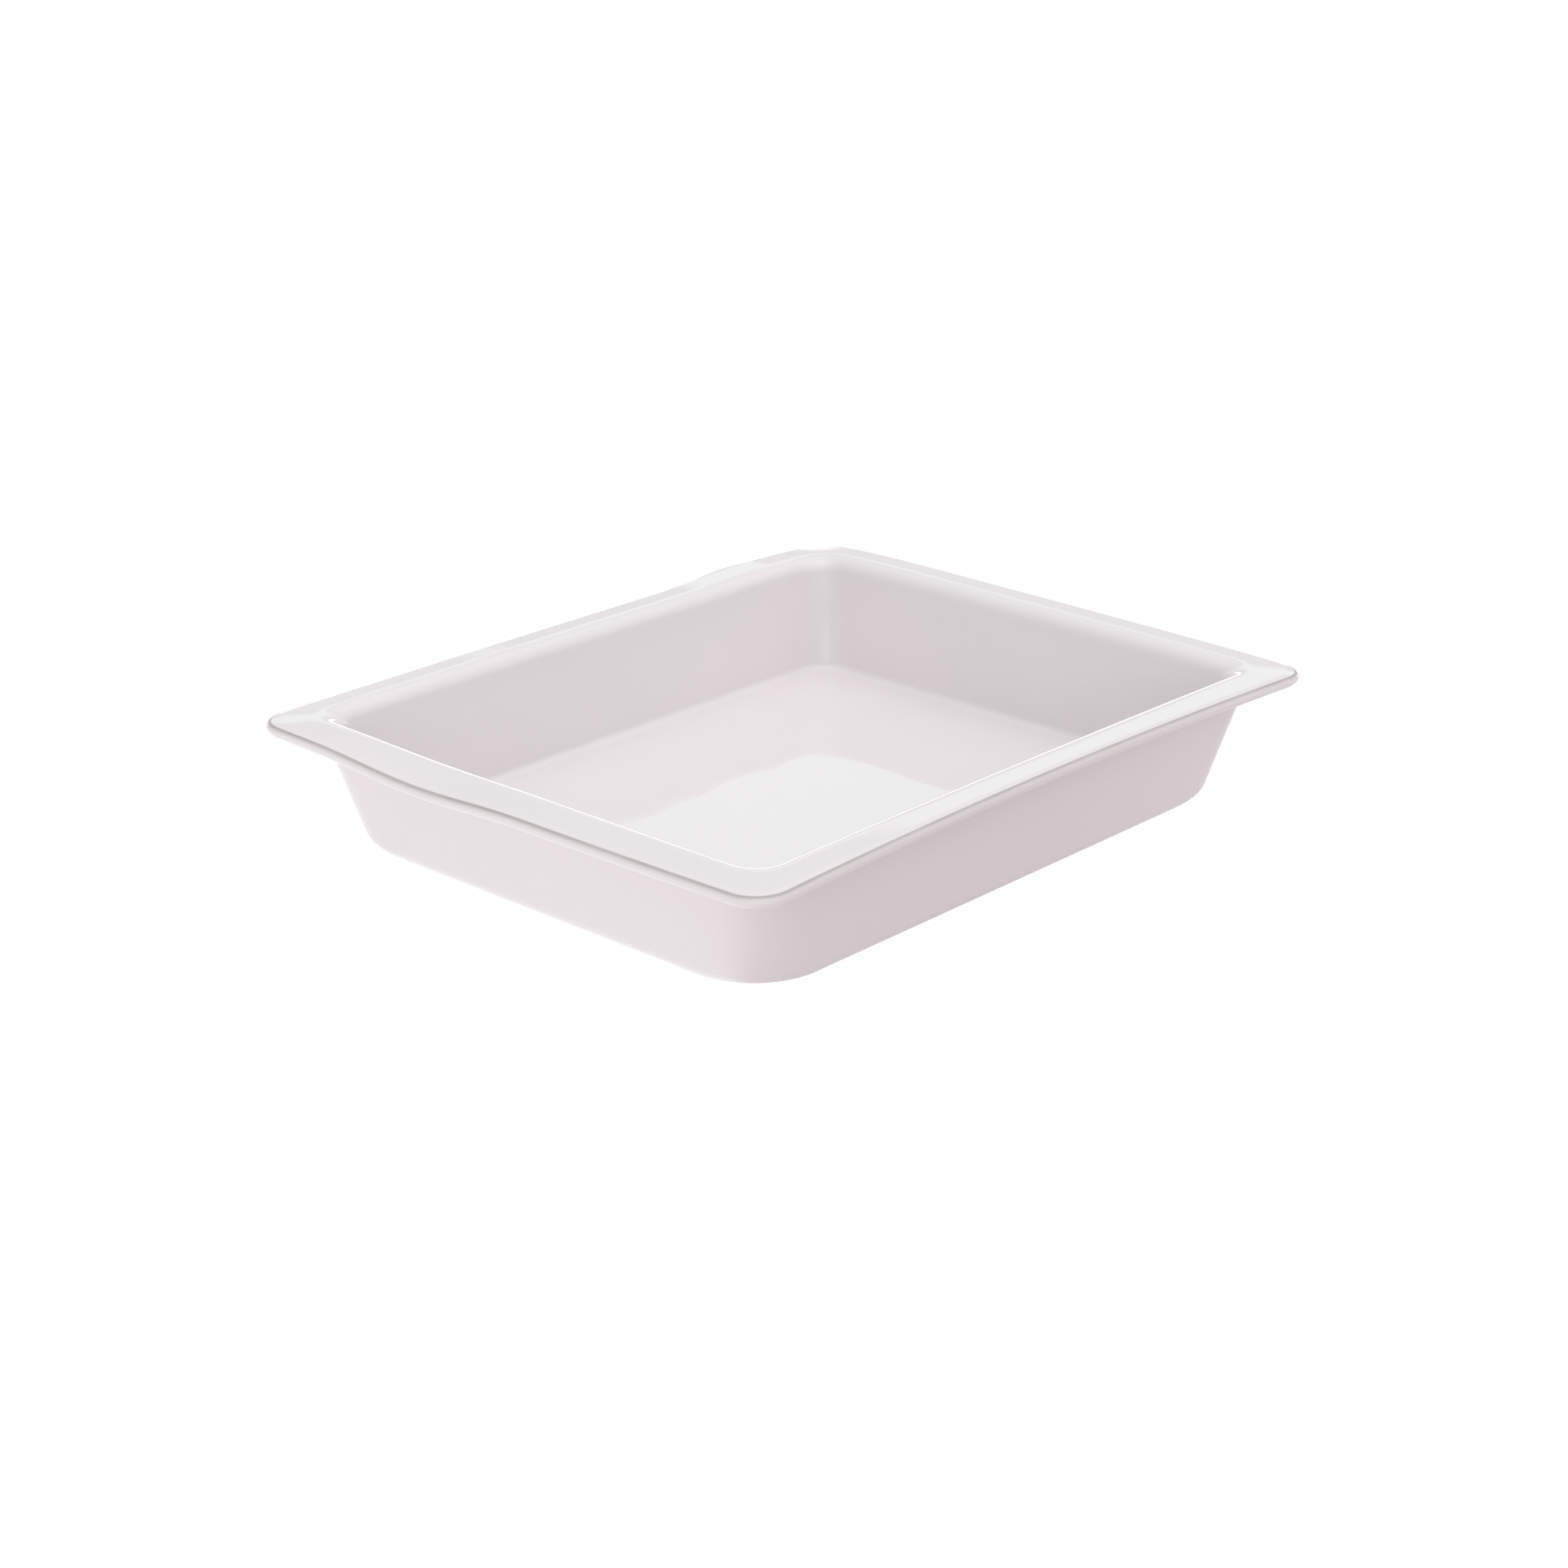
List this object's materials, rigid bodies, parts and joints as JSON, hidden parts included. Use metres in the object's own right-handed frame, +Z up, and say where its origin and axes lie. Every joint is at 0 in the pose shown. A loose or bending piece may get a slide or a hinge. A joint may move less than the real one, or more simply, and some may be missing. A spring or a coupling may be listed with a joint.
{
  "type": "ceramic gastronorm pan",
  "caption": "Shallow rectangular baking pan in white glazed porcelain with drafted walls, a raised lip and a flat flange all round.",
  "frame": {"origin": "middle of the plane that the foot ring stands on", "axes": "+Z up out of the well, +X along the long sides, +Y along the short sides"},
  "size_m": [0.3238, 0.264, 0.0562],
  "materials": {
    "bare_clay": "fired clay, unglazed, fine matt grain",
    "white_glaze": "glossy white glaze"
  },
  "bodies": {
    "root": {"pan_body": "bare_clay", "glaze_coat": "white_glaze", "underside_glaze": "white_glaze"}
  },
  "joints": []
}
